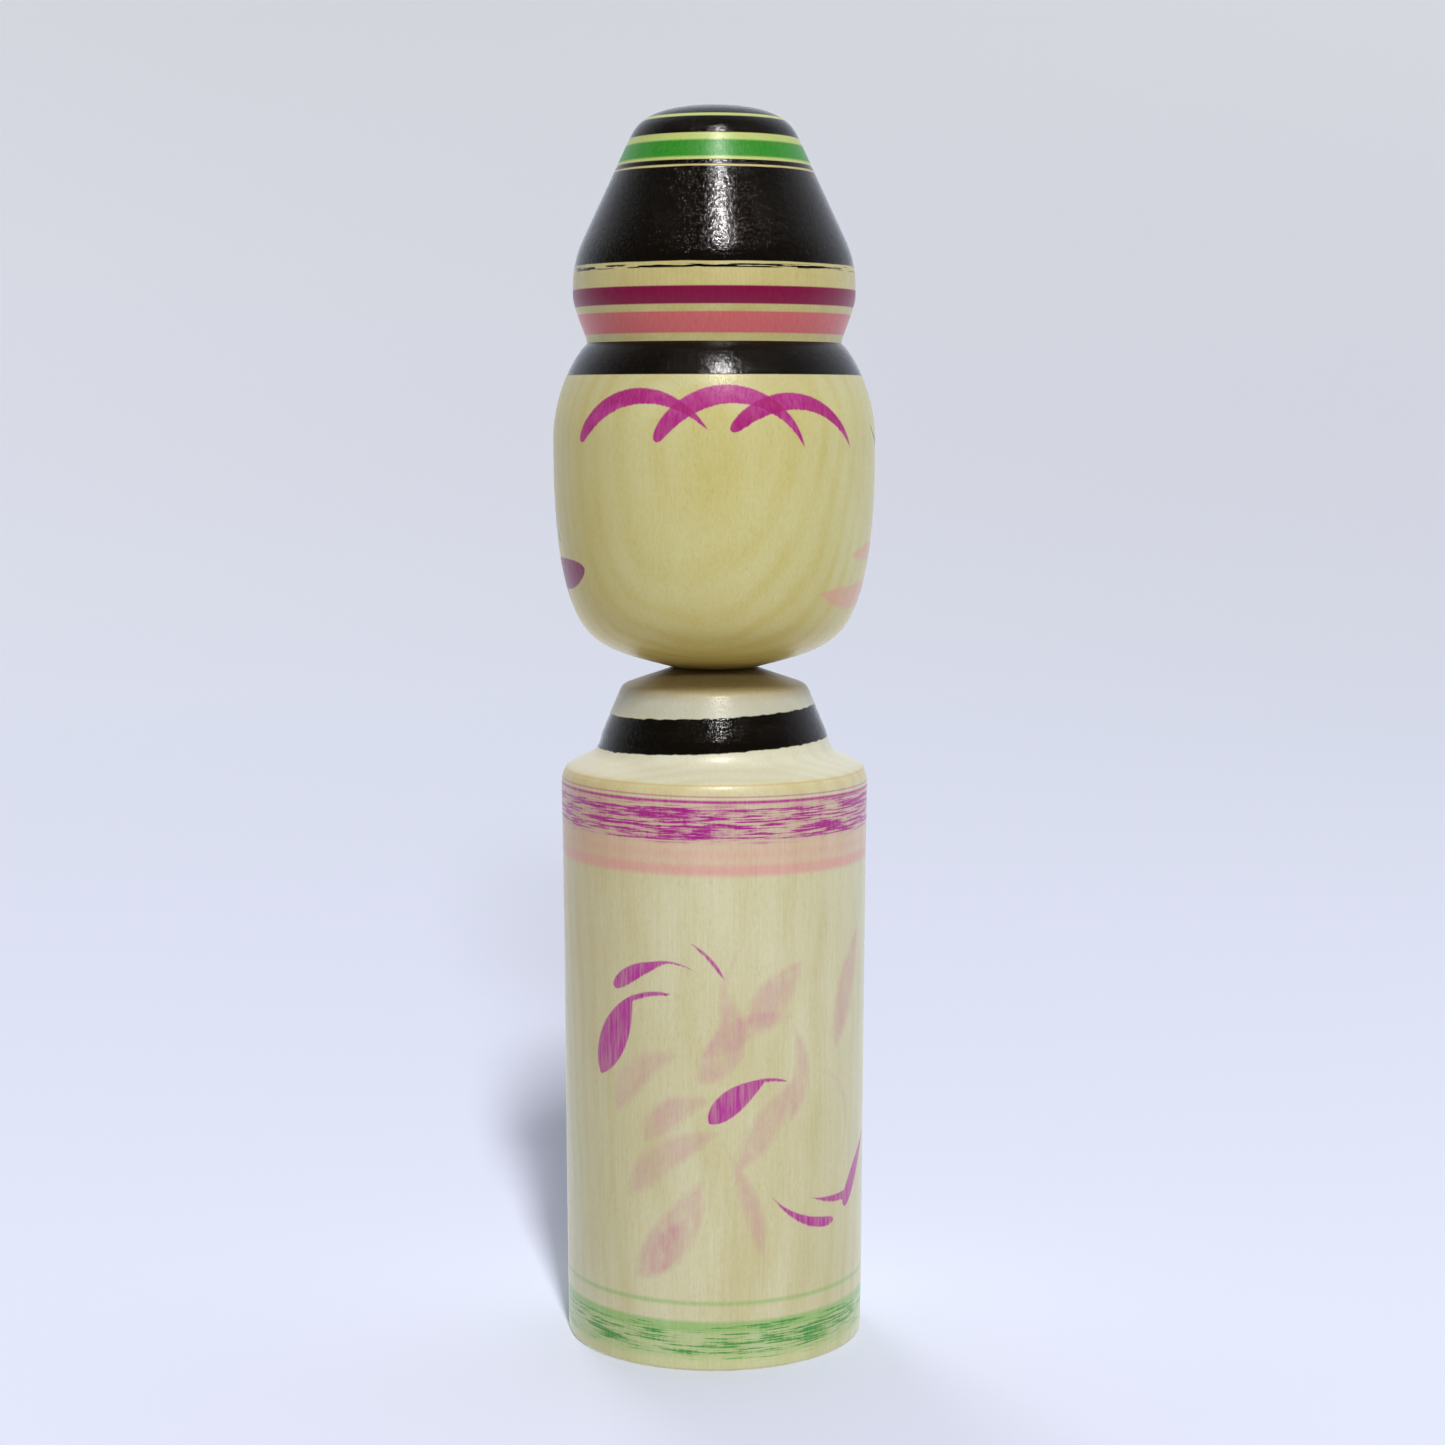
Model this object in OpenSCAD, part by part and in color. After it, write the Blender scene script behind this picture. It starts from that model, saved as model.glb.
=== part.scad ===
// Kokeshi doll: a turned wooden trunk, a head that turns on a neck pin, and a tall turned hat.
// Every piece is turned about Z. The origin is the centre of the foot, +Z is up, and the
// face looks along +Y. Sizes are in millimetres and directions in degrees: along an outline,
// 0 runs outwards, 90 runs up and 180 runs inwards.

/* [Trunk] */
// Radius of the trunk at the foot
foot_r = 29.5; // [28.5:0.1:30]
// Radius of the trunk just below the shoulder
shoulder_r = 30.3; // [29.8:0.1:31.5]
// Height where the straight side ends and the rounded shoulder edge begins
side_h = 110.6; // [90:0.1:111.5]
// Rounding of the edge around the foot
foot_round = 0.6; // [0.3:0.1:2]

/* [Shoulder and neck] */
// Radius where the rounded edge runs into the sloping shoulder
rim_r = 28.8; // [27:0.1:29]
// Height where the rounded edge runs into the sloping shoulder
rim_h = 114.5; // [113:0.1:115.5]
// Radius at the outer end of the hollow around the neck
hollow_r = 25; // [24:0.1:26.5]
// Height at the outer end of the hollow around the neck
hollow_h = 116.4; // [116:0.1:117]
// Radius of the neck at its lower end
neck_low_r = 22.1; // [20.5:0.1:22.4]
// Height of the neck's lower end
neck_low_h = 121.2; // [120:0.1:122]
// Radius of the neck at its upper end
neck_top_r = 18.6; // [17.5:0.1:20]
// Height of the neck's upper end
neck_top_h = 129.4; // [128:0.1:129.8]
// Radius of the ring where the head and the trunk nearly meet
seat_r = 8.2; // [7.5:0.1:10]
// Height of the top of the trunk
trunk_h = 133.7; // [133:0.1:134.5]

/* [Head] */
// Gap between the top of the trunk and the underside of the head
head_gap = 0.1; // [0.1:0.05:0.3]
// Radius where the bowl under the chin turns up into the cheek
jaw_r = 27.4; // [26.5:0.1:28.5]
// Height where the bowl under the chin turns up into the cheek
jaw_h = 144.9; // [143:0.1:147]
// Largest radius of the head
head_r = 31.5; // [30:0.1:33]
// Height of the head's widest ring
cheek_h = 178.6; // [174:0.1:182]
// Radius at the bottom of the groove between the head and the hat
groove_r = 24.8; // [23:0.1:26]
// Height of the groove, where the hat sits on the head
groove_h = 197; // [195:0.1:198]

/* [Hat] */
// Largest radius of the hat
brim_r = 27.5; // [26.5:0.1:29]
// Height of the hat's widest ring
brim_h = 206.3; // [205:0.1:207.5]
// Radius at the lower end of the hat's straight cone
cone_low_r = 25; // [24:0.1:26]
// Height at the lower end of the hat's straight cone
cone_low_h = 218; // [217:0.1:220]
// Radius at the upper end of the hat's straight cone
cone_top_r = 16.1; // [14:0.1:18]
// Height at the upper end of the hat's straight cone
cone_top_h = 236.8; // [234:0.1:238]
// Overall height of the doll
total_h = 242.5; // [241.5:0.1:245]

/* [Neck pin] */
// Radius of the pin's straight stem
pin_r = 6; // [5:0.1:6.3]
// Radius of the bulb that holds the pin in the trunk
bulb_r = 6.9; // [6.6:0.1:8]
// Length of the pin inside the trunk
pin_down = 28; // [24:1:40]
// Length of the pin inside the head
pin_up = 26; // [18:1:34]
// Running clearance all round the pin and its bulb
pin_play = 0.05; // [0.03:0.01:0.1]

/* [Hat peg] */
// Radius of the dowel between the head and the hat
peg_r = 4; // [3:0.5:6]
// Length of the dowel on each side of the joint
peg_half = 12; // [8:1:16]

/* [Hidden] */

$fn = 96;
curve_steps = 20;       // straight steps in a long curve
edge_steps = 6;         // straight steps in a small rounded edge
over = 1;               // how far a cutting solid reaches past the face that it opens
bore_air = 1;           // free depth past the end of a glued pin or peg
tip = 1;                // chamfer on the end of the pin and the peg

// Direction in which each outline passes its named rings
side_dir = 89.2;
rim_dir = 155;
hollow_dir = 165;
chin_dir = 15.2;
jaw_dir = 66.3;
groove_dir = 140;
hat_foot_dir = 84;
neck_dir = direction([neck_low_r, neck_low_h], [neck_top_r, neck_top_h]);
cone_dir = direction([cone_low_r, cone_low_h], [cone_top_r, cone_top_h]);

// The neck's upper edge ends where the flat cone up to the seat begins
neck_edge = [neck_top_r - 2, neck_top_h + 1.4];
seat_dir = direction(neck_edge, [seat_r, trunk_h]);

head_h = trunk_h + head_gap;
pin_low_h = trunk_h - pin_down;
pin_high_h = head_h + pin_up;
pin_end_r = 4.5;        // radius of the pin's lower end
bulb_h = pin_low_h + 8; // height of the bulb's widest ring
bulb_rise = 6;          // height over which the bulb narrows to the stem

wood = [0.82, 0.78, 0.60];
peg_wood = [0.72, 0.58, 0.38];
black_dye = [0.15, 0.12, 0.09];

// Direction of the line from a to b.
function direction(a, b) = atan2(b.y - a.y, b.x - a.x);

// Points along a smooth curve from a to b. It leaves a along a_dir and arrives at b along
// b_dir, and pull says how far it is drawn along the first and along the last direction.
function bend(a, a_dir, b, b_dir, pull, steps) =
    let (
        p = a + pull[0] * [cos(a_dir), sin(a_dir)],
        q = b - pull[1] * [cos(b_dir), sin(b_dir)]
    ) [
        for (i = [0:steps])
            let (t = i / steps, s = 1 - t)
                s * s * s * a + 3 * s * s * t * p + 3 * s * t * t * q + t * t * t * b
    ];

// A solid turned about Z from half its outline.
module turned(outline) {
    rotate_extrude() polygon(outline);
}

// Outside of the trunk, from the foot over the shoulder and the neck to the seat.
function trunk_outline() = concat(
    [[0, 0]],
    bend([foot_r - foot_round, 0], 0, [foot_r, foot_round], 90,
         [foot_round / 2, foot_round / 2], edge_steps),
    bend([foot_r, foot_round], side_dir, [shoulder_r, side_h], side_dir, [30, 40], curve_steps),
    bend([shoulder_r, side_h], 90, [rim_r, rim_h], rim_dir, [1.8, 1.2], edge_steps),
    bend([hollow_r, hollow_h], hollow_dir, [neck_low_r, neck_low_h], neck_dir,
         [2.3, 1], edge_steps),
    bend([neck_top_r, neck_top_h], neck_dir, neck_edge, seat_dir, [1, 0.8], edge_steps),
    [[seat_r, trunk_h], [0, trunk_h]]
);

// The buried length of the neck pin up to top_h, grown by play on every side.
function buried_pin_outline(play, top_h) = [
    [0, pin_low_h - play],
    [pin_end_r + play, pin_low_h - play],
    [bulb_r + play, bulb_h - play],
    [bulb_r + play, bulb_h + play],
    [pin_r + play, bulb_h + bulb_rise + play],
    [pin_r + play, top_h],
    [0, top_h],
];

// The trunk, with the undercut socket in which the pin's bulb turns.
module trunk() {
    color(wood) difference() {
        turned(trunk_outline());
        turned(buried_pin_outline(pin_play, trunk_h + over));
    }
}

// Outside of the head, from its underside up to the groove under the hat.
function head_outline() = concat(
    [[0, head_h]],
    bend([seat_r, head_h], chin_dir, [jaw_r, jaw_h], jaw_dir, [11.6, 7.8], curve_steps),
    bend([jaw_r, jaw_h], jaw_dir, [head_r, cheek_h], 90, [10.3, 8.9], curve_steps),
    bend([head_r, cheek_h], 90, [groove_r, groove_h], groove_dir, [8, 3.5], curve_steps),
    [[0, groove_h]]
);

// The head, bored from below for the neck pin and from above for the hat peg.
module head() {
    color(wood) difference() {
        turned(head_outline());
        translate([0, 0, head_h - over])
            cylinder(h = pin_up + bore_air + over, r = pin_r);
        translate([0, 0, groove_h - peg_half - bore_air])
            cylinder(h = peg_half + bore_air + over, r = peg_r);
    }
}

// The pin that is glued into the head and turns in the trunk.
module neck_pin() {
    color(peg_wood) {
        turned(buried_pin_outline(0, head_h));
        translate([0, 0, head_h]) cylinder(h = pin_up - tip, r = pin_r);
        translate([0, 0, pin_high_h - tip]) cylinder(h = tip, r1 = pin_r, r2 = pin_r - tip);
    }
}

// Outside of the hat, from the groove over the brim and up the cone to the top.
function hat_outline() = concat(
    [[0, groove_h]],
    bend([groove_r, groove_h], hat_foot_dir, [brim_r, brim_h], 90, [1.8, 2.7], curve_steps),
    bend([brim_r, brim_h], 90, [cone_low_r, cone_low_h], cone_dir, [5.6, 4.6], curve_steps),
    bend([cone_top_r, cone_top_h], cone_dir, [0, total_h], 180, [4, 10], curve_steps)
);

// The hat, bored from below for the peg.
module hat() {
    color(black_dye) difference() {
        turned(hat_outline());
        translate([0, 0, groove_h - over])
            cylinder(h = peg_half + bore_air + over, r = peg_r);
    }
}

// The dowel that joins the hat to the head.
module hat_peg() {
    color(peg_wood) {
        translate([0, 0, groove_h - peg_half]) cylinder(h = tip, r1 = peg_r - tip, r2 = peg_r);
        translate([0, 0, groove_h - peg_half + tip]) cylinder(h = 2 * (peg_half - tip), r = peg_r);
        translate([0, 0, groove_h + peg_half - tip])
            cylinder(h = tip, r1 = peg_r, r2 = peg_r - tip);
    }
}

trunk();
head();
neck_pin();
hat();
hat_peg();
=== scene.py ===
"""Looks of the turned kokeshi doll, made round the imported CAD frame.

Paint is placed in millimetres on the doll: u runs round the surface, to the right for someone
who faces that side, and z runs up from the foot. The near side is -Y and the face side is +Y.
"""

import math

import bpy
import numpy as np
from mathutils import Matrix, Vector

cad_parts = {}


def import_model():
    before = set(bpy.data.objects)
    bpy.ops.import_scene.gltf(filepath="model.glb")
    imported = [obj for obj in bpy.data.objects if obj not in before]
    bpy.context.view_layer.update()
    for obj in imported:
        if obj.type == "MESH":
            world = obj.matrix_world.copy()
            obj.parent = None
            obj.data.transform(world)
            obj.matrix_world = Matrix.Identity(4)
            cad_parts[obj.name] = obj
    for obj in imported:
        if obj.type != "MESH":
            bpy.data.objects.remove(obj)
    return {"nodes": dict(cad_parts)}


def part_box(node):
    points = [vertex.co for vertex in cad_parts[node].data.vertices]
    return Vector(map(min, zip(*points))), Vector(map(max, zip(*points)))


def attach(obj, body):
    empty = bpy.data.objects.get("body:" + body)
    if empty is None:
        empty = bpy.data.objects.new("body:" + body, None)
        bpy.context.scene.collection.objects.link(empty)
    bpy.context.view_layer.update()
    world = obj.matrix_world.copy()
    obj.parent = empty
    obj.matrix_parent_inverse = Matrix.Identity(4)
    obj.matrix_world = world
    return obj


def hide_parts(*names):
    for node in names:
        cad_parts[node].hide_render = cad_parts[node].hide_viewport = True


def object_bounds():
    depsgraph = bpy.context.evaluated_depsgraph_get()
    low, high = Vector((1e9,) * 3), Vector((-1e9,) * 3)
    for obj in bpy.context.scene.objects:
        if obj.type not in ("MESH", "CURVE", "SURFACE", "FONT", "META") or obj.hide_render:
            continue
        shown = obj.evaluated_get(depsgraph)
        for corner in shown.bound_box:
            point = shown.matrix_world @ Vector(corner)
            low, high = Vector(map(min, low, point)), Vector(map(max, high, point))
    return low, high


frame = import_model()
cad_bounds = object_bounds()

MM = 0.001
# Sides that take paint. TWIN is the far side with everything mirrored about its middle.
NEAR, FAR, TWIN = "near", "far", "twin"

# Colours are linear RGB. Each wood has its early and its late, darker colour.
HEAD_WOOD = ((0.60, 0.58, 0.33, 1), (0.53, 0.465, 0.165, 1))
HAT_WOOD = ((0.59, 0.545, 0.30, 1), (0.49, 0.42, 0.18, 1))
TRUNK_WOOD = ((0.66, 0.645, 0.475, 1), (0.57, 0.53, 0.32, 1))
PIN_WOOD = ((0.62, 0.55, 0.35, 1), (0.48, 0.38, 0.20, 1))
BLACK = (0.006, 0.004, 0.002, 1)
PURPLE = (0.22, 0.003, 0.062, 1)
DARK_PURPLE = (0.22, 0.004, 0.095, 1)
MAGENTA = (0.44, 0.024, 0.275, 1)
DARK_MAGENTA = (0.37, 0.018, 0.16, 1)
DEEP_MAGENTA = (0.40, 0.016, 0.265, 1)
VIOLET = (0.45, 0.045, 0.33, 1)
PINK = (0.585, 0.125, 0.16, 1)
ROSE = (0.70, 0.25, 0.31, 1)
MAUVE = (0.55, 0.25, 0.34, 1)
GREEN = (0.018, 0.25, 0.018, 1)
BLEED = (0.43, 0.62, 0.17, 1)
LEAF = (0.17, 0.47, 0.10, 1)
DARK_LEAF = (0.06, 0.29, 0.065, 1)
YELLOW = (0.66, 0.42, 0.06, 1)
# Amber: a painted line at the shoulder, and painted shade on the head and the trunk.
AMBER = (0.50, 0.34, 0.085, 1)
# A brown that stands for the shade under the head.
SHADE_BROWN = (0.34, 0.22, 0.06, 1)
# A grey used as painted sheen on the head's top and as painted shade on the bare neck.
CHALK = (0.44, 0.45, 0.44, 1)
PALE_WOOD = (0.76, 0.76, 0.70, 1)
RED = (0.50, 0.02, 0.035, 1)


# ---------------------------------------------------------------- turned pieces

AROUND = 192
LONGEST_SPAN = 2.2 * MM
SAME = 0.05 * MM
DECIMALS = 5
BORE_WIDER, BORE_LONGER = 0.3 * MM, 1.5 * MM
SHARP_EDGE = math.radians(35)


def linked(name, data):
    """A new object in the scene."""
    made = bpy.data.objects.new(name, data)
    bpy.context.scene.collection.objects.link(made)
    return made


def smooth_mesh(name, verts, faces):
    mesh = bpy.data.meshes.new(name)
    mesh.from_pydata(verts, [], faces)
    mesh.polygons.foreach_set("use_smooth", [True] * len(mesh.polygons))
    return mesh


def rings(node):
    """Radius and height of each ring of vertices of a turned CAD node, from low to high."""
    mesh = frame["nodes"][node].data
    co = np.empty(len(mesh.vertices) * 3)
    mesh.vertices.foreach_get("co", co)
    co = co.reshape(-1, 3)
    found = np.column_stack((np.hypot(co[:, 0], co[:, 1]), co[:, 2]))
    found = np.unique(np.round(found, DECIMALS), axis=0)
    # From low to high, and from the outside inwards where two rings are at one height.
    found = found[np.lexsort((-found[:, 0], found[:, 1]))]
    kept = [found[0]]
    for ring in found[1:]:
        if np.abs(ring - kept[-1]).max() > SAME:
            kept.append(ring)
    return np.array([ring for ring in kept if ring[0] > SAME])


def outline(node, pins):
    """A turned node's half outline: the bore below, the outside from low to high, the bore above.

    Each pin names the CAD node that fills one of the bores.
    """
    outside = rings(node)
    below, above = [], []
    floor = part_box(node)[0].z
    for pin in pins:
        low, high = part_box(pin)
        in_bore = outside[:, 0] < high.x + BORE_WIDER
        in_bore &= outside[:, 1] > low.z - BORE_LONGER
        in_bore &= outside[:, 1] < high.z + BORE_LONGER
        bore = outside[in_bore][::-1]
        outside = outside[~in_bore]
        if bore[-1][1] - floor < SAME:
            below = list(bore)
        else:
            above = list(bore)
    return below + list(outside) + above


def turned(name, points, body):
    """A closed mesh turned about Z from a half outline, riding on a body."""
    dense = [points[0]]
    for start, end in zip(points, points[1:]):
        steps = max(1, math.ceil(np.hypot(*(end - start)) / LONGEST_SPAN))
        dense += [start + (end - start) * (i + 1) / steps for i in range(steps)]
    turn = np.arange(AROUND) * 2 * math.pi / AROUND
    verts = [(r * math.sin(a), -r * math.cos(a), z) for r, z in dense for a in turn]
    faces = []
    for ring in range(len(dense) - 1):
        low, high = ring * AROUND, (ring + 1) * AROUND
        for i in range(AROUND):
            j = (i + 1) % AROUND
            faces.append((low + i, low + j, high + j, high + i))
    last = (len(dense) - 1) * AROUND
    verts += [(0, 0, dense[0][1]), (0, 0, dense[-1][1])]
    bottom, top = len(verts) - 2, len(verts) - 1
    for i in range(AROUND):
        j = (i + 1) % AROUND
        faces += [(bottom, j, i), (top, last + i, last + j)]
    mesh = smooth_mesh(name, verts, faces)
    mesh.set_sharp_from_angle(angle=SHARP_EDGE)
    mesh.update()
    piece = linked(name, mesh)
    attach(piece, body)
    return piece


# ---------------------------------------------------------------- node building


class Nodes:
    """Adds nodes to one tree. Each call gives back an output that feeds the next call."""

    def __init__(self, tree):
        self.tree = tree

    def add(self, kind, inputs=None, **settings):
        """A new node. An input that is a socket is linked, and any other value is set."""
        node = self.tree.nodes.new("ShaderNode" + kind)
        for name, value in settings.items():
            setattr(node, name, value)
        for key, value in (inputs or {}).items():
            if isinstance(value, bpy.types.NodeSocket):
                self.tree.links.new(value, node.inputs[key])
            else:
                node.inputs[key].default_value = value
        return node

    def math(self, operation, *values, clamp=False):
        node = self.add("Math", dict(enumerate(values)), operation=operation, use_clamp=clamp)
        return node.outputs[0]

    def vector_math(self, operation, *values):
        node = self.add("VectorMath", dict(enumerate(values)), operation=operation)
        return node.outputs["Value" if operation == "LENGTH" else "Vector"]

    def parts(self, vector):
        return self.add("SeparateXYZ", {0: vector}).outputs

    def flat_vector(self, x, y):
        return self.add("CombineXYZ", {0: x, 1: y}).outputs[0]

    def ramp(self, value, start, end, low=0.0, high=1.0):
        """Runs from low to high as value goes from start to end, and stays there beyond."""
        inputs = {0: value, 1: start, 2: end, 3: low, 4: high}
        return self.add("MapRange", inputs, clamp=True).outputs[0]

    def noise(self, place, scales, detail=2.0, roughness=0.5):
        """Noise with a scale of its own along each axis. A small scale gives long streaks."""
        drawn = self.vector_math("MULTIPLY", place, scales)
        inputs = {"Vector": drawn, "Scale": 1.0, "Detail": detail, "Roughness": roughness}
        return self.add("TexNoise", inputs).outputs[0]

    def mix(self, factor, below, above):
        """The colour below, covered by the colour above as far as factor says."""
        node = self.add("Mix", {"Factor": factor}, data_type="RGBA")
        for socket, value in ((node.inputs[6], below), (node.inputs[7], above)):
            if isinstance(value, bpy.types.NodeSocket):
                self.tree.links.new(value, socket)
            else:
                socket.default_value = value
        return node.outputs[2]

    def band(self, z, low, high, soft=0.12):
        """1 between two heights, with edges that fade over soft on each side."""
        rise = self.ramp(z, low - soft, low + soft)
        fall = self.ramp(z, high - soft, high + soft, 1.0, 0.0)
        return self.math("MULTIPLY", rise, fall)

    def capped(self, value, most=1.0):
        return self.math("MINIMUM", value, most)

    def wavering(self, height, noise, reach=0.5):
        """A height moved up and down by noise, so that level edges come out uneven."""
        return self.math("MULTIPLY_ADD", noise, reach, self.math("SUBTRACT", height, reach / 2))


def group(name, values, build):
    """A node group that gives a mask from a place, a centre and the named values."""
    tree = bpy.data.node_groups.new(name, "ShaderNodeTree")
    inputs = [("Place", "Vector"), ("Centre", "Vector")] + [(v, "Float") for v in values]
    for label, kind in inputs:
        tree.interface.new_socket(label, in_out="INPUT", socket_type="NodeSocket" + kind)
    tree.interface.new_socket("Mask", in_out="OUTPUT", socket_type="NodeSocketFloat")
    source = tree.nodes.new("NodeGroupInput")
    target = tree.nodes.new("NodeGroupOutput")
    mask = build(Nodes(tree), {label: source.outputs[label] for label, _ in inputs})
    tree.links.new(mask, target.inputs[0])
    return tree


# The edges of strokes and petals fade over this many millimetres.
EDGE = 0.25
PETAL_SWELL, PETAL_TAPER = 1.1, 0.45


def stroke_mask(n, given):
    """A brush stroke along a circular arc, whose width swells and tapers from start to end."""
    local = n.vector_math("SUBTRACT", given["Place"], given["Centre"])
    spin = n.add("VectorRotate", {"Vector": local, "Angle": given["Turn"]}, rotation_type="Z_AXIS")
    x, y, _ = n.parts(spin.outputs[0])
    off_line = n.math("ABSOLUTE", n.math("SUBTRACT", n.vector_math("LENGTH", local), given["Bend"]))
    along = n.math("DIVIDE", n.math("ARCTAN2", y, x), given["Sweep"])
    along = n.math("ADD", along, 0.5, clamp=True)
    left = n.math("SUBTRACT", 1.0, along)
    swell = n.math("POWER", along, given["Swell"])
    taper = n.math("POWER", left, given["Taper"])
    half = n.math("MULTIPLY", n.math("MULTIPLY", swell, taper), given["Half"])
    inside = n.math("SUBTRACT", half, off_line)
    return n.math("DIVIDE", inside, given["Edge"], clamp=True)


def flower_mask(n, given):
    """Petals of equal length round a centre, each widest near its outer end."""
    local = n.vector_math("SUBTRACT", given["Place"], given["Centre"])
    x, y, _ = n.parts(local)
    far = n.vector_math("LENGTH", local)
    turns = n.math("DIVIDE", n.math("ARCTAN2", y, x), 2 * math.pi)
    petal = n.math("FRACT", n.math("MULTIPLY_ADD", turns, given["Petals"], given["Phase"]))
    turn = n.math("DIVIDE", n.math("SUBTRACT", petal, 0.5), given["Petals"])
    across = n.math("MULTIPLY", n.math("MULTIPLY", turn, 2 * math.pi), far)
    span = n.math("SUBTRACT", given["Outer"], given["Inner"])
    along = n.math("DIVIDE", n.math("SUBTRACT", far, given["Inner"]), span, clamp=True)
    left = n.math("SUBTRACT", 1.0, along)
    swell = n.math("POWER", along, PETAL_SWELL)
    taper = n.math("POWER", left, PETAL_TAPER)
    half = n.math("MULTIPLY", n.math("MULTIPLY", swell, taper), given["Half"])
    inside = n.math("SUBTRACT", half, n.math("ABSOLUTE", across))
    return n.math("DIVIDE", inside, EDGE, clamp=True)


STROKE_VALUES = ("Turn", "Bend", "Sweep", "Half", "Swell", "Taper", "Edge")
FLOWER_VALUES = ("Petals", "Phase", "Inner", "Outer", "Half")
STROKE = group("brush_stroke", STROKE_VALUES, stroke_mask)
FLOWER = group("flower", FLOWER_VALUES, flower_mask)


# ---------------------------------------------------------------- painting


def arc_through(start, via, end):
    """Centre, radius, middle angle and signed sweep of the arc from start through via to end."""
    a, b, c = (complex(*p) for p in (start, via, end))
    w = (c - a) / (b - a)
    centre = (b - a) * (w - abs(w) ** 2) / (w - w.conjugate()) + a
    first = np.angle(a - centre)
    sweep = (np.angle(c - centre) - first) % (2 * math.pi)
    if w.imag < 0:
        sweep -= 2 * math.pi
    return (centre.real, centre.imag), abs(a - centre), first + sweep / 2, sweep


def evened(swell, taper):
    """What brings the widest place of a stroke with this swell and taper to 1."""
    return (swell + taper) ** (swell + taper) / (swell**swell * taper**taper)


# Millimetres from one growth ring to the next, and how far noise pushes them out of round.
RING_SPACING = 3.0
RING_DRIFT = 9.0


def growth_rings(n, place, pith, figure, facing_up):
    """Darkness of the late wood in rings round an upright pith, stronger on end grain."""
    x, y, z = n.parts(place)
    drift = n.noise(place, (0.035, 0.035, 0.012))
    off_pith = n.flat_vector(n.math("SUBTRACT", x, pith[0]), n.math("SUBTRACT", y, pith[1]))
    ring = n.math("MULTIPLY_ADD", drift, RING_DRIFT, n.vector_math("LENGTH", off_pith))
    ring = n.math("MULTIPLY_ADD", z, pith[2], ring)
    wave = n.math("SINE", n.math("MULTIPLY", ring, 2 * math.pi / RING_SPACING))
    clear = n.noise(place, (0.05, 0.05, 0.05), 1.0)
    contrast = n.ramp(clear, 0.35, 0.65, figure / 4, figure)
    late = n.math("MULTIPLY", n.ramp(wave, -0.4, 1.0), contrast)
    return n.math("MULTIPLY", late, n.ramp(facing_up, 0.3, 0.9, 1.0, 2.6))


def bare_wood(n, place, pith, wood, figure, fibres):
    """Colour and relief of pale close-grained wood: rings, fibres, pores, mottling and flecks.

    Faces that look up or down cut across the fibres and are made darker: partly end grain soaking
    up more wax, partly painted shade that dims lit tops and darkens undersides.
    """
    facing_up = n.math("ABSOLUTE", n.parts(n.add("TexCoord").outputs["Normal"])[2])
    late = growth_rings(n, place, pith, figure, facing_up)
    fibre = n.noise(place, (2.4, 2.4, 0.09), 4.0, 0.65)
    pore = n.ramp(n.noise(place, (5.0, 5.0, 0.7)), 0.56, 0.72)
    mottle = n.noise(place, (0.06, 0.06, 0.025), 3.0)
    fleck = n.noise(place, (1.7, 1.7, 1.1), 2.0, 0.6)
    shade = n.math("ADD", late, n.ramp(mottle, 0.35, 0.7, 0.0, 0.5))
    shade = n.math("MULTIPLY_ADD", n.ramp(fibre, 0.33, 0.67), fibres, shade)
    shade = n.math("MULTIPLY_ADD", pore, 0.30, shade)
    shade = n.math("ADD", shade, n.ramp(fleck, 0.35, 0.65, -0.1, 0.1))
    # Painted shade, in part: darker on faces that look up or down (also end grain).
    shade = n.math("ADD", shade, n.ramp(facing_up, 0.2, 0.9, 0.0, 0.3), clamp=True)
    relief = n.math("MULTIPLY_ADD", pore, -0.5, n.math("MULTIPLY", fibre, 0.4))
    return n.mix(shade, *wood), relief


RELIEF_DEPTH = 0.052 * MM
# How far the beads stand out, the roughness and the specular level, on wax and on black paint.
WAX_BEADS, WAX_ROUGH, WAX_SHINE = 0.2, 0.33, 0.46
FILM_BEADS, FILM_ROUGH, FILM_SHINE = 1.4, 0.09, 0.36
# A dry brush marks the wood where its level passes this, less the brush's cover.
DRY_LEVEL, DRY_EDGE = 1.31, 0.10
# Millimetres over which a dry band fades out above and below.
DRY_FADE = 0.9


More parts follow.
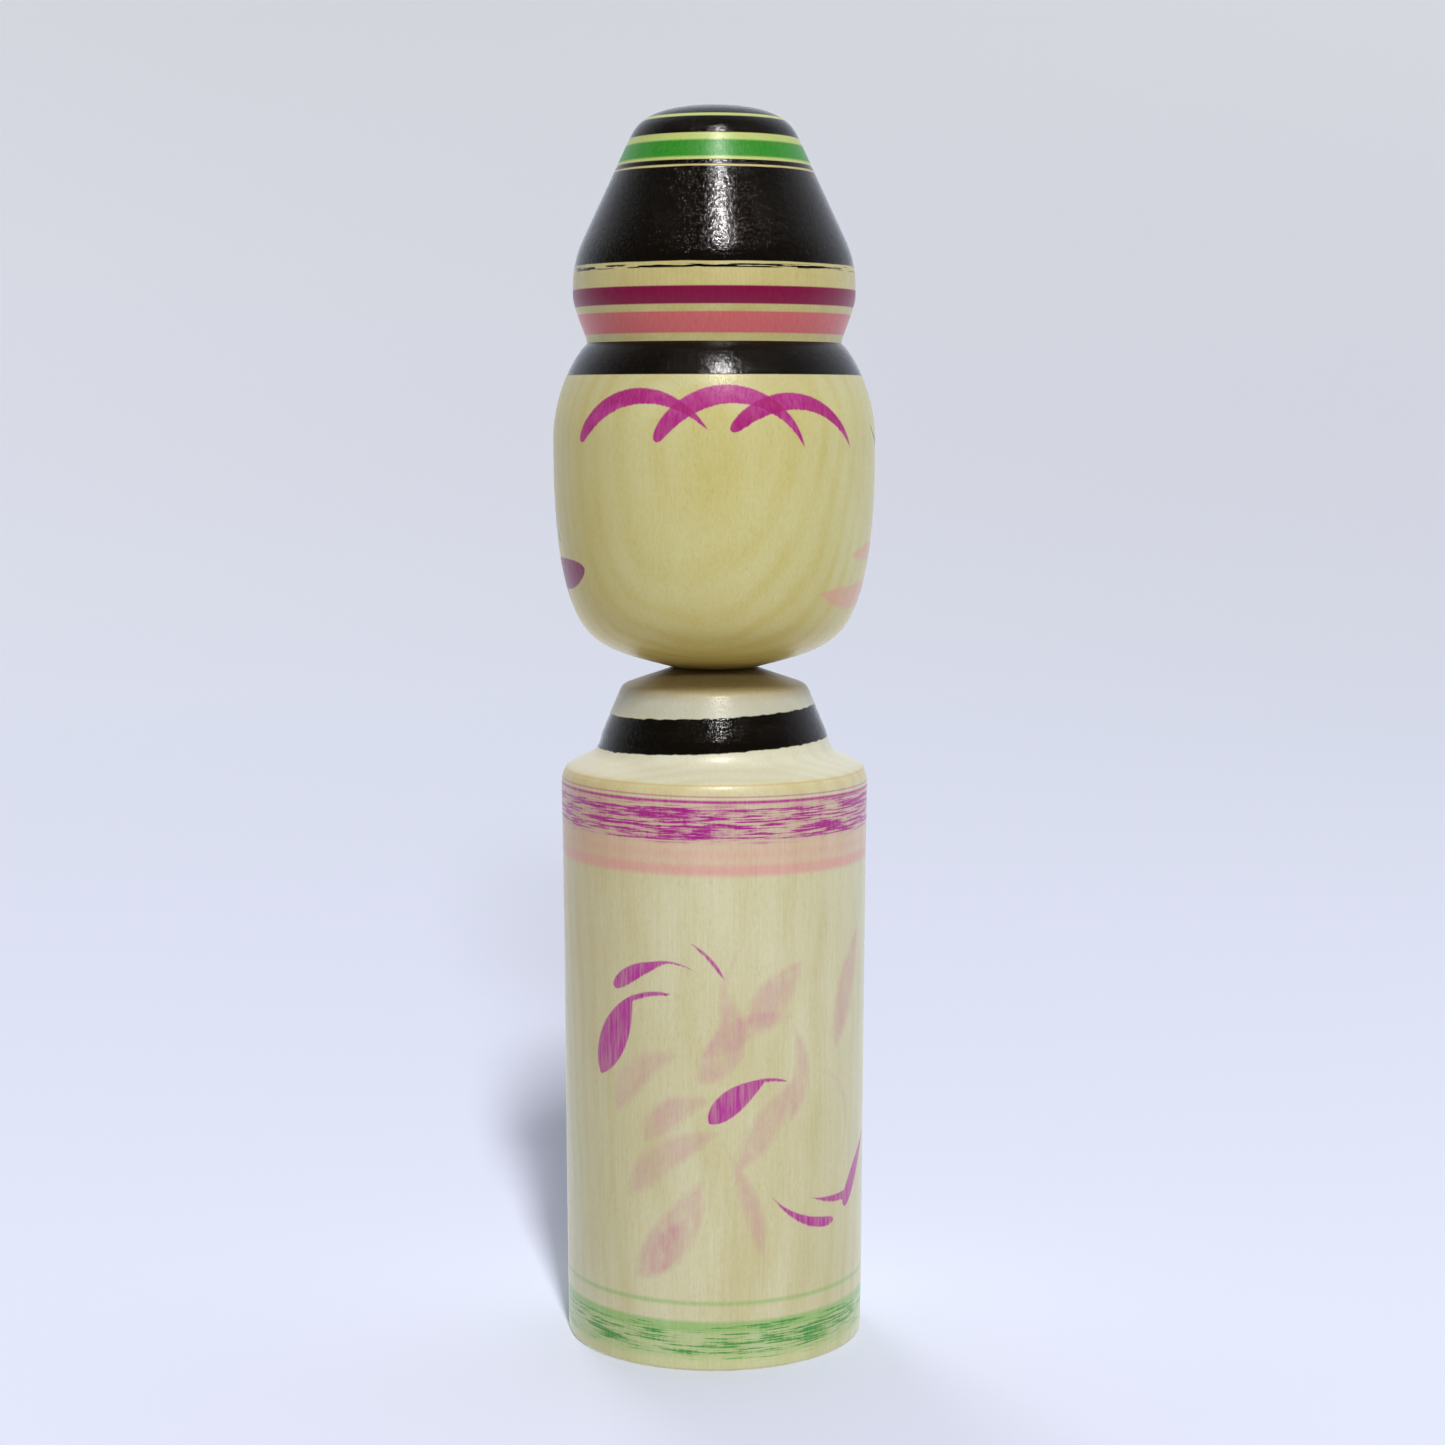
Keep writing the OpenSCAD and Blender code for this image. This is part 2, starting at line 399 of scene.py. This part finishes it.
class Piece:
    """The paint on one turned piece: its coordinates in millimetres and its layers of dye.

    Round the surface, u is measured at the given radius. pith is the place of the growth rings'
    middle, in x and y, and their lean. figure is how strong the rings are, fibres the fibres.
    """

    def __init__(self, name, radius, pith, wood, figure=0.3, fibres=0.32):
        self.material = bpy.data.materials.new(name)
        self.material.use_nodes = True
        self.material.node_tree.nodes.clear()
        self.n = n = Nodes(self.material.node_tree)
        here = n.add("TexCoord").outputs["Object"]
        scaled = n.add("VectorMath", {0: here, "Scale": 1 / MM}, operation="SCALE")
        self.place = scaled.outputs[0]
        self.x, self.y, self.z = n.parts(self.place)
        self.colour, self.relief = bare_wood(n, self.place, pith, wood, figure, fibres)
        self.film = None
        fine = self.noise((1.9, 1.9, 0.14), 3.0, 0.6)
        self.fibre = n.ramp(fine, 0.3, 0.7, 0.74, 1.06)
        bled = n.wavering(self.z, fine)
        near, far = self.round_from(-1.0, radius), self.round_from(1.0, radius)
        mirrored = n.math("ABSOLUTE", far)
        self.sides = {
            NEAR: n.flat_vector(near, bled),
            FAR: n.flat_vector(far, bled),
            TWIN: n.flat_vector(mirrored, self.z),
        }

    def noise(self, scales, detail=2.0, roughness=0.5):
        return self.n.noise(self.place, scales, detail, roughness)

    def round_from(self, facing, radius):
        """u, from the middle of the side that looks along facing times +Y."""
        n = self.n
        across = n.math("MULTIPLY", self.x, -facing)
        depth = n.math("MULTIPLY", self.y, facing)
        return n.math("MULTIPLY", n.math("ARCTAN2", across, depth), radius)

    def dye(self, mask, colour, strength, through_fibre=1.0):
        """Lays a dye over what is there. The fibres of the wood show through it."""
        n = self.n
        laid = n.math("MULTIPLY", mask, strength)
        taken = n.math("MULTIPLY_ADD", self.fibre, through_fibre, 1.0 - through_fibre)
        amount = n.math("MULTIPLY", laid, taken, clamp=True)
        self.colour = n.mix(amount, self.colour, colour)

    def paint_black(self, mask):
        """Lays a thick glossy black paint that hides the wood."""
        self.colour = self.n.mix(mask, self.colour, BLACK)
        self.film = mask

    def mask(self, tree, side, centre, values):
        """Output of a mask group that stands about a centre on one side."""
        inputs = {"Place": self.sides[side], "Centre": (*centre, 0.0), **values}
        return self.n.add("Group", inputs, node_tree=tree).outputs[0]

    def strokes(self, side, lines, width=1.0, swell=0.5, taper=0.5, edge=EDGE):
        """Sum of the masks of brush strokes.

        Each is (start, via, end), then its own width, swell and taper where they differ from
        the others'.
        """
        total = None
        for start, via, end, *own in lines:
            wide, lead, tip = own + [width, swell, taper][len(own):]
            centre, bend, middle, sweep = arc_through(start, via, end)
            half = wide / 2 * evened(lead, tip)
            values = zip(STROKE_VALUES, (-middle, bend, sweep, half, lead, tip, edge))
            out = self.mask(STROKE, side, centre, dict(values))
            total = out if total is None else self.n.math("ADD", total, out)
        return total

    def flower(self, side, centre, petals, phase, inner, outer, width):
        """Mask of one ring of petals."""
        half = width / 2 * evened(PETAL_SWELL, PETAL_TAPER)
        values = zip(FLOWER_VALUES, (petals, phase, inner, outer, half))
        return self.mask(FLOWER, side, centre, dict(values))

    def dry_brush(self, z, low, high, cover):
        """A band laid with a dry brush: broken level streaks. More cover leaves fewer gaps."""
        n = self.n
        lines = self.noise((0.03, 0.03, 2.8), 3.0, 0.75)
        streaks = self.noise((0.16, 0.16, 2.3), 5.0, 0.6)
        grain = self.noise((1.6, 1.6, 1.2), 2.0, 0.6)
        patches = self.noise((0.09, 0.09, 0.3))
        zone = n.band(z, low, high, DRY_FADE)
        level = n.math("MULTIPLY_ADD", lines, 0.7, streaks)
        for part, weight in ((grain, 0.14), (patches, 0.3), (zone, 0.25)):
            level = n.math("MULTIPLY_ADD", part, weight, level)
        start = DRY_LEVEL - cover
        marked = n.ramp(level, start, start + DRY_EDGE)
        return n.math("MULTIPLY", marked, n.ramp(zone, 0.0, 0.3))

    def finish(self):
        """Wax over wood and dye, and a harder shine with small beads on the black paint."""
        n = self.n
        beads = self.noise((1.5, 1.5, 1.8), 2.0, 0.6)
        lathe = self.noise((0.05, 0.05, 3.2), 2.0, 0.6)
        skin = n.math("MULTIPLY_ADD", lathe, 0.25, beads)
        proud, rough, shine = WAX_BEADS, WAX_ROUGH, WAX_SHINE
        if self.film is not None:
            proud = n.ramp(self.film, 0.0, 1.0, WAX_BEADS, FILM_BEADS)
            rough = n.ramp(self.film, 0.0, 1.0, WAX_ROUGH, FILM_ROUGH)
            shine = n.ramp(self.film, 0.0, 1.0, WAX_SHINE, FILM_SHINE)
        height = n.math("MULTIPLY_ADD", skin, proud, self.relief)
        bump = n.add("Bump", {"Strength": 1.0, "Distance": RELIEF_DEPTH, "Height": height})
        surface = n.add("BsdfPrincipled", {
            "Base Color": self.colour,
            "Roughness": rough,
            "Specular IOR Level": shine,
            "Normal": bump.outputs[0],
        })
        output = n.add("OutputMaterial")
        n.tree.links.new(surface.outputs[0], output.inputs[0])
        return self.material


def paint_hat():
    """Pink, purple and green rings among black bands, with one broken thin black line."""
    p = Piece("hat_paint", radius=24.0, pith=(9.0, 30.0, 0.02), wood=HAT_WOOD)
    n, z = p.n, p.z
    bleed = n.math("ADD", n.band(z, 230.8, 236.2, 0.5), n.band(z, 239.1, 240.2, 0.4), clamp=True)
    p.dye(bleed, BLEED, 0.55)
    p.dye(n.band(z, 198.5, 202.4), PINK, 0.96, 0.5)
    p.dye(n.band(z, 203.8, 207.1), PURPLE, 1.0, 0.06)
    p.dye(n.band(z, 231.4, 234.6, 0.2), GREEN, 0.97, 0.3)
    wander = p.noise((0.06, 0.06, 0.0), 3.0)
    black = n.band(n.wavering(z, wander), 211.6, 229.5, 0.08)
    for low, high in ((229.9, 230.8), (236.0, 239.3), (239.9, 250.0)):
        black = n.math("MAXIMUM", black, n.band(z, low, high, 0.08))
    broken = n.ramp(p.noise((0.16, 0.16, 2.2), 3.0), 0.47, 0.53)
    line = n.math("MULTIPLY", n.band(z, 210.45, 211.15, 0.1), broken)
    p.paint_black(n.math("MAXIMUM", black, line))
    return p.finish()


def dye_nape(p):
    """Three overlapping arcs, with dye pooled in them and double where they cross."""
    n = p.n
    arcs = p.strokes(NEAR, [
        ((-29.2, 178.2), (-18.4, 186.3), (-1.0, 180.2)),
        ((-11.2, 178.3), (1.0, 187.0), (17.9, 177.0), 3.9),
        ((3.2, 180.2), (15.6, 185.8), (30.2, 176.9)),
    ], 3.5, 0.34, 0.75)
    painted = n.capped(arcs)
    p.dye(painted, MAGENTA, 0.98, 0.7)
    pooled = n.ramp(p.noise((0.11, 0.11, 0.16)), 0.42, 0.62)
    p.dye(n.math("MULTIPLY", painted, pooled), DARK_MAGENTA, 0.6)
    p.dye(n.math("SUBTRACT", arcs, 1.0, clamp=True), DARK_MAGENTA, 0.75)


def dye_ribbons(p):
    """The ends of two ribbons that come round from the face, with faded ones at the right."""
    ribbons = p.strokes(NEAR, [
        ((-30.6, 154.1), (-42.0, 152.6), (-62.0, 157.0)),
        ((-44.0, 150.5), (-52.0, 145.5), (-62.0, 146.0), 5.0),
    ], 6.4, 0.55, 0.9)
    p.dye(p.n.capped(ribbons), DARK_PURPLE, 1.0, 0.4)
    faded = p.strokes(NEAR, [
        ((61.0, 153.5), (44.0, 148.9), (24.0, 149.6)),
        ((64.0, 162.0), (48.0, 157.8), (33.0, 156.6), 5.0),
    ], 6.0, 0.6, 0.6, 0.8)
    p.dye(p.n.capped(faded), ROSE, 0.5)


def hair_mask(p):
    """A band round the crown, a lock at each side, and a fringe over the face."""
    locks = p.strokes(NEAR, [
        ((-51.5, 184.0), (-49.5, 169.0), (-41.6, 158.6), 3.0, 0.5, 0.7),
        ((39.8, 181.9), (44.5, 178.4), (52.0, 178.6), 1.4, 0.7, 0.2),
    ])
    fringe = p.strokes(TWIN, [
        ((0.0, 193.0), (0.05, 187.0), (0.0, 180.0)),
        ((5.0, 193.0), (4.6, 187.0), (3.0, 181.0)),
        ((9.6, 193.0), (9.0, 188.0), (6.6, 183.0)),
        ((33.0, 196.0), (42.0, 181.0), (49.0, 161.0), 11.5, 0.25, 0.8),
        ((44.0, 196.0), (47.5, 184.0), (46.5, 171.0), 7.0, 0.25, 0.9),
    ], 4.6, 0.25, 0.6)
    band = p.n.band(p.z, 190.8, 200.0, 0.08)
    return p.n.math("MAXIMUM", p.n.math("MAXIMUM", locks, fringe), band)


def face_mask(p):
    """Eyes, brows and nose: calm, plain and nobody's in particular."""
    return p.strokes(TWIN, [
        ((6.0, 168.9), (10.8, 171.6), (15.8, 168.8), 0.75, 0.3, 0.4),
        ((8.4, 168.6), (10.9, 167.7), (13.4, 168.7), 0.35, 0.4, 0.4),
        ((9.2, 169.9), (10.8, 169.6), (12.4, 169.9), 2.1, 0.4, 0.4),
        ((5.4, 176.6), (11.0, 178.9), (17.4, 176.0), 0.75, 0.4, 0.5),
        ((-1.7, 163.6), (0.0, 162.5), (1.7, 163.6), 0.55, 0.3, 0.3),
    ], edge=0.12)


def paint_head():
    grain = {"figure": 0.34, "fibres": 0.18}
    p = Piece("head_paint", radius=31.5, pith=(4.0, 95.0, 0.06), wood=HEAD_WOOD, **grain)
    n, z = p.n, p.z
    # Painted sheen: the top of the head paler and whiter, as a broad highlight makes it.
    p.dye(n.ramp(z, 184.0, 192.0), CHALK, 0.22)
    # Painted shade: the lower head warmer and darker, most of all on its underside.
    p.dye(n.ramp(z, 154.0, 136.0), AMBER, 0.34)
    p.dye(n.ramp(z, 144.0, 133.0), SHADE_BROWN, 0.35)
    # Painted shade: the head's left side, away from the key light, warmer and darker.
    p.dye(n.ramp(p.x, -8.0, -26.0), AMBER, 0.20)
    dye_nape(p)
    dye_ribbons(p)
    lips = [((-2.7, 156.7), (0.0, 155.5), (2.7, 156.7))]
    p.dye(p.strokes(TWIN, lips, 1.7, 0.6, 0.6), RED, 0.95, 0.3)
    p.paint_black(n.capped(n.math("MAXIMUM", hair_mask(p), face_mask(p))))
    return p.finish()


def dye_shoulder(p):
    """A level yellow ring, and a little tilted: purple lines, a dry brush and a pink band."""
    n, z = p.n, p.z
    tilt = n.math("MULTIPLY_ADD", p.x, 0.011, z)
    p.dye(n.band(z, 112.0, 114.1, 0.25), YELLOW, 0.16)
    p.dye(n.band(z, 113.75, 114.1, 0.1), AMBER, 0.55)
    p.dye(n.band(tilt, 96.8, 103.4, 0.7), ROSE, 0.30)
    p.dye(n.band(tilt, 96.9, 98.9, 0.4), ROSE, 0.38)
    p.dye(n.band(tilt, 100.3, 101.6, 0.5), ROSE, 0.14)
    p.dye(n.band(tilt, 103.2, 111.0, 0.7), MAUVE, 0.34)
    p.dye(n.band(tilt, 111.75, 112.05, 0.1), MAGENTA, 0.55)
    p.dye(n.band(tilt, 110.65, 111.2, 0.15), MAGENTA, 0.95)
    p.dye(p.dry_brush(tilt, 103.5, 110.4, 0.10), MAGENTA, 0.3)
    p.dye(p.dry_brush(tilt, 103.7, 110.2, 0.03), DEEP_MAGENTA, 1.0, 0.5)


def dye_foot(p):
    """A thin green line, a green stripe and a dry green brush."""
    n, z = p.n, p.z
    p.dye(n.band(z, 13.1, 13.9, 0.3), LEAF, 0.45)
    p.dye(n.band(z, 7.9, 9.9, 0.35), LEAF, 0.62)
    p.dye(n.band(z, 2.4, 8.2, 0.6), LEAF, 0.30)
    p.dye(p.dry_brush(z, 2.4, 8.8, 0.05), LEAF, 0.35)
    p.dye(p.dry_brush(z, 2.6, 9.4, -0.025), DARK_LEAF, 0.95)
    p.dye(n.band(z, -2.0, 3.0, 0.8), BLEED, 0.22)


def dye_near_petals(p):
    """Petals blown off the flowers, old pale ones under the fresh ones."""
    n = p.n
    old = p.strokes(NEAR, [
        ((-20.2, 49.6), (-16.2, 57.6), (-5.8, 62.0)),
        ((-4.0, 57.0), (2.6, 64.5), (2.0, 75.0), 8.0),
        ((-14.0, 44.4), (-8.6, 50.8), (0.0, 53.4)),
        ((-17.8, 33.6), (-10.5, 41.6), (2.0, 47.4), 7.5),
        ((-16.2, 17.6), (-7.6, 27.5), (-2.0, 39.0), 9.5),
        ((4.6, 39.6), (9.8, 47.5), (17.2, 58.0), 7.0),
        ((7.0, 66.8), (12.0, 73.6), (18.4, 80.0), 8.5),
        ((-2.6, 61.6), (6.9, 67.4), (17.0, 69.0), 6.0),
        ((2.6, 66.0), (1.6, 74.0), (6.4, 84.5), 2.4),
        ((14.6, 48.0), (17.8, 56.5), (15.4, 68.0), 5.0),
        ((-12.6, 18.6), (-8.2, 26.0), (-5.0, 31.0), 6.0),
        ((27.0, 61.0), (31.4, 74.0), (37.0, 86.0), 7.5),
        ((9.4, 21.8), (6.8, 33.5), (2.2, 44.0), 5.0),
        ((20.0, 58.0), (30.4, 50.4), (25.4, 36.0), 1.8),
    ], 7.0, 0.7, 1.0, 1.6)
    blotch = n.ramp(p.noise((0.3, 0.3, 0.15), 4.0, 0.6), 0.34, 0.62, 0.45, 1.0)
    p.dye(n.math("MULTIPLY", n.capped(old, 1.5), blotch), MAUVE, 0.44)
    fresh = p.strokes(NEAR, [
        ((-20.9, 74.2), (-16.5, 77.4), (-9.0, 79.9), 3.3, 0.4, 0.9),
        ((-13.5, 79.2), (-8.4, 80.0), (-3.6, 78.4), 0.8, 0.2, 0.6),
        ((-24.8, 56.6), (-21.0, 64.8), (-16.6, 73.0), 6.9, 0.7, 0.9),
        ((-20.4, 69.8), (-14.6, 73.2), (-8.6, 73.8), 1.3, 0.2, 0.3),
        ((-1.0, 49.0), (3.5, 53.3), (10.0, 57.0), 5.1, 0.6, 0.9),
        ((5.0, 55.9), (9.9, 57.1), (14.6, 56.4), 1.0, 0.2, 0.3),
        ((1.8, 77.0), (-1.5, 81.4), (-5.0, 84.2), 1.0, 0.5, 0.8),
        ((26.8, 27.0), (18.6, 28.6), (10.4, 35.3), 2.3, 0.35, 1.3),
        ((30.6, 28.8), (34.5, 34.0), (43.0, 42.0), 3.6, 0.35, 1.0),
        ((33.0, 31.2), (26.0, 31.3), (19.5, 32.9), 2.0, 0.2, 1.0),
    ], edge=0.3)
    p.dye(n.capped(fresh), VIOLET, 1.0, 1.6)


def dye_far_flowers(p):
    """Two flowers one over the other, with leaves between them and petals drifting off."""
    n = p.n
    leaves = p.strokes(TWIN, [
        ((2.0, 52.5), (12.0, 57.5), (25.0, 57.0)),
        ((2.0, 51.0), (12.0, 51.5), (22.0, 47.0), 3.8),
        ((6.0, 28.0), (15.0, 22.5), (26.5, 22.0)),
        ((8.0, 33.0), (17.0, 31.0), (25.0, 33.5), 3.8),
        ((0.0, 66.0), (0.6, 45.0), (0.0, 22.0), 1.5, 0.1, 0.1),
    ], 4.6, 0.8, 1.0)
    p.dye(n.capped(leaves), LEAF, 0.9)
    for centre, size in (((0.0, 76.0), 1.0), ((0.0, 38.0), 0.8)):
        outer = p.flower(FAR, centre, 15, 0.0, 4.0 * size, 17.0 * size, 5.6 * size)
        inner = p.flower(FAR, centre, 9, 0.5, 1.2 * size, 8.0 * size, 4.0 * size)
        heart = p.flower(FAR, centre, 6, 0.0, 0.0, 2.8 * size, 2.6 * size)
        p.dye(outer, MAGENTA, 0.88)
        p.dye(inner, DARK_MAGENTA, 0.9)
        p.dye(heart, YELLOW, 0.95)
    drifting = p.strokes(FAR, [
        ((-26.0, 86.0), (-22.0, 91.0), (-15.0, 92.5)),
        ((26.0, 84.0), (22.5, 90.0), (15.5, 92.0)),
        ((-33.0, 66.0), (-30.0, 72.0), (-24.0, 75.5)),
        ((34.0, 64.0), (31.0, 70.0), (25.0, 74.0)),
    ], 4.4, 0.6, 1.4)
    p.dye(n.capped(drifting), MAGENTA, 0.84)


def paint_neck(p):
    """Painted shade: brown on the neck's top under the head, and a grey tint that dims the brightly
    lit bare neck. A paler shoulder, and one broad black band with a ragged edge.
    """
    n, z = p.n, p.z
    p.dye(n.band(z, 114.2, 120.0, 0.8), PALE_WOOD, 0.45)
    # Painted shade: a grey tint that dims the bare neck where the key light falls strongly.
    p.dye(n.band(z, 125.0, 130.2, 0.8), CHALK, 0.6)
    # Painted shade: brown where the head shades the top of the neck.
    p.dye(n.ramp(z, 128.2, 131.6), SHADE_BROWN, 0.75)
    ragged = p.noise((0.45, 0.45, 0.0), 4.0)
    edge = n.math("MULTIPLY_ADD", ragged, 0.7, n.math("MULTIPLY_ADD", p.x, -0.047, z))
    p.paint_black(n.band(edge, 119.5, 126.0, 0.1))


def paint_trunk():
    grain = {"figure": 0.34, "fibres": 0.42}
    p = Piece("trunk_paint", radius=30.0, pith=(-6.0, 70.0, 0.03), wood=TRUNK_WOOD, **grain)
    n = p.n
    # Painted shade: the trunk's left side, at middle and upper height, warmer and darker.
    left = n.math("MULTIPLY", n.ramp(p.x, -9.0, -25.0), n.ramp(p.z, 35.0, 80.0))
    p.dye(left, AMBER, 0.22)
    dye_shoulder(p)
    dye_foot(p)
    dye_near_petals(p)
    dye_far_flowers(p)
    paint_neck(p)
    return p.finish()


def plain_wood():
    return Piece("peg_wood", radius=6.0, pith=(3.0, 20.0, 0.0), wood=PIN_WOOD).finish()


# ---------------------------------------------------------------- studio

WARM_WHITE, COOL_WHITE = (1.0, 0.97, 0.90, 1), (0.88, 0.93, 1.04, 1)
FRONT_GLOW, BACK_GLOW, FLOOR_GLOW = 0.10, 1.0, 0.78
FLOOR_PAPER = (0.70, 0.72, 0.82, 1)
WALL_PAPER = (0.90, 0.925, 1.0, 1)
NEAR_PAPER = (0.50, 0.52, 0.60, 1)
VIEW_GAMMA = 0.85
MIDDLE = (cad_bounds[0] + cad_bounds[1]) / 2
LIGHT_DISTANCE = 3.0
SENSOR, LENS = 36.0, 68.5
CAMERA_PLACE = (0.0, -0.5415, 0.1853)
CAMERA_DOWN, CAMERA_TURN = 6.61, -0.17


def area_light(name, azimuth, elevation, size, power, colour=(1, 1, 1)):
    """A soft light, size wide and high, that looks at the doll's middle. Azimuth 0 is near."""
    data = bpy.data.lights.new(name, "AREA")
    data.shape = "RECTANGLE"
    data.size, data.size_y = size
    data.energy = power
    data.color = colour
    light = linked(name, data)
    a, e = math.radians(azimuth), math.radians(elevation)
    away = Vector((math.sin(a) * math.cos(e), -math.cos(a) * math.cos(e), math.sin(e)))
    light.location = MIDDLE + away * LIGHT_DISTANCE
    light.rotation_euler = away.to_track_quat("Z", "Y").to_euler()
    return light


def studio_paper():
    """Pale bluish paper, painted lighter away from the doll where the far cove gets less light,
    and painted darker at the near side, which the world's glow lights most."""
    material = bpy.data.materials.new("studio_paper")
    material.use_nodes = True
    n = Nodes(material.node_tree)
    here = n.add("TexCoord").outputs["Object"]
    # Painted light: lighter further from the doll. Painted shade: darker on the near side.
    away = n.ramp(n.vector_math("LENGTH", here), 0.1, 1.9)
    near = n.ramp(n.parts(here)[1], -0.1, -1.6)
    colour = n.mix(near, n.mix(away, FLOOR_PAPER, WALL_PAPER), NEAR_PAPER)
    surface = material.node_tree.nodes["Principled BSDF"]
    material.node_tree.links.new(colour, surface.inputs["Base Color"])
    surface.inputs["Roughness"].default_value = 0.9
    surface.inputs["Specular IOR Level"].default_value = 0.0
    return material


def studio_floor():
    """A round pale floor that curves up into a wall all round, well behind every camera.

    Only the camera sees it: the world lights the doll as if from the paper.
    """
    flat, cove, wall, steps, around = 1.1, 0.8, 1.6, 24, 96
    points = [(0.001, 0.0), (flat, 0.0)]
    for i in range(1, steps + 1):
        a = math.radians(90) * i / steps
        points.append((flat + cove * math.sin(a), cove * (1 - math.cos(a))))
    points.append((flat + cove, wall))
    turn = [2 * math.pi * i / around for i in range(around)]
    verts = [(r * math.cos(a), r * math.sin(a), z) for r, z in points for a in turn]
    faces = [tuple(range(around))]
    for low in range(0, (len(points) - 1) * around, around):
        for i in range(around):
            j = (i + 1) % around
            faces.append((low + i, low + around + i, low + around + j, low + j))
    mesh = smooth_mesh("studio", verts, faces)
    mesh.materials.append(studio_paper())
    floor = linked("studio", mesh)
    floor.visible_diffuse = False
    floor.visible_glossy = False
    floor.visible_shadow = False


def camera():
    """Looks at the near side from a little above the head, tilted down to the whole doll."""
    data = bpy.data.cameras.new("camera")
    data.sensor_width = SENSOR
    data.lens = LENS
    cam = linked("camera", data)
    cam.location = CAMERA_PLACE
    cam.rotation_euler = (math.radians(90 - CAMERA_DOWN), 0.0, math.radians(CAMERA_TURN))
    bpy.context.scene.camera = cam


def world():
    """Dim soft light in front, brighter from the paper behind and below."""
    sky = bpy.data.worlds.new("sky")
    sky.use_nodes = True
    n = Nodes(sky.node_tree)
    x, y, z = n.parts(n.add("TexCoord").outputs["Generated"])
    behind = n.math("MULTIPLY_ADD", x, 0.12, y)
    glow = n.ramp(behind, -0.12, 0.6, FRONT_GLOW, BACK_GLOW)
    glow = n.math("ADD", glow, n.ramp(z, 0.1, -0.6, 0.0, FLOOR_GLOW))
    colour = n.mix(n.ramp(behind, -0.2, 0.5), WARM_WHITE, COOL_WHITE)
    background = sky.node_tree.nodes["Background"]
    n.tree.links.new(colour, background.inputs[0])
    n.tree.links.new(glow, background.inputs[1])
    bpy.context.scene.world = sky


def contrast():
    """A plain view of the colours, with the contrast of the photo."""
    view = bpy.context.scene.view_settings
    view.view_transform = "Standard"
    view.gamma = VIEW_GAMMA


for node, pins, body, paint in (
    ("trunk", ["neck_pin"], "trunk", paint_trunk),
    ("head", ["neck_pin", "hat_peg"], "head", paint_head),
    ("hat", ["hat_peg"], "head", paint_hat),
):
    piece = turned("turned_" + node, outline(node, pins), body)
    piece.data.materials.append(paint())
    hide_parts(node)

bare = plain_wood()
for node in ("neck_pin", "hat_peg"):
    mesh = frame["nodes"][node].data
    mesh.materials.clear()
    mesh.materials.append(bare)

world()
contrast()
studio_floor()
area_light("key", 8, 51, size=(0.19, 0.75), power=66.0, colour=(1.0, 0.99, 0.99))
back = area_light("back", 200, 42, size=(0.8, 0.8), power=14.0)
fill = area_light("fill", 6, 24, size=(0.3, 0.3), power=26.5, colour=(0.96, 0.98, 1.06))
for light in (back, fill):
    light.visible_glossy = False
camera()
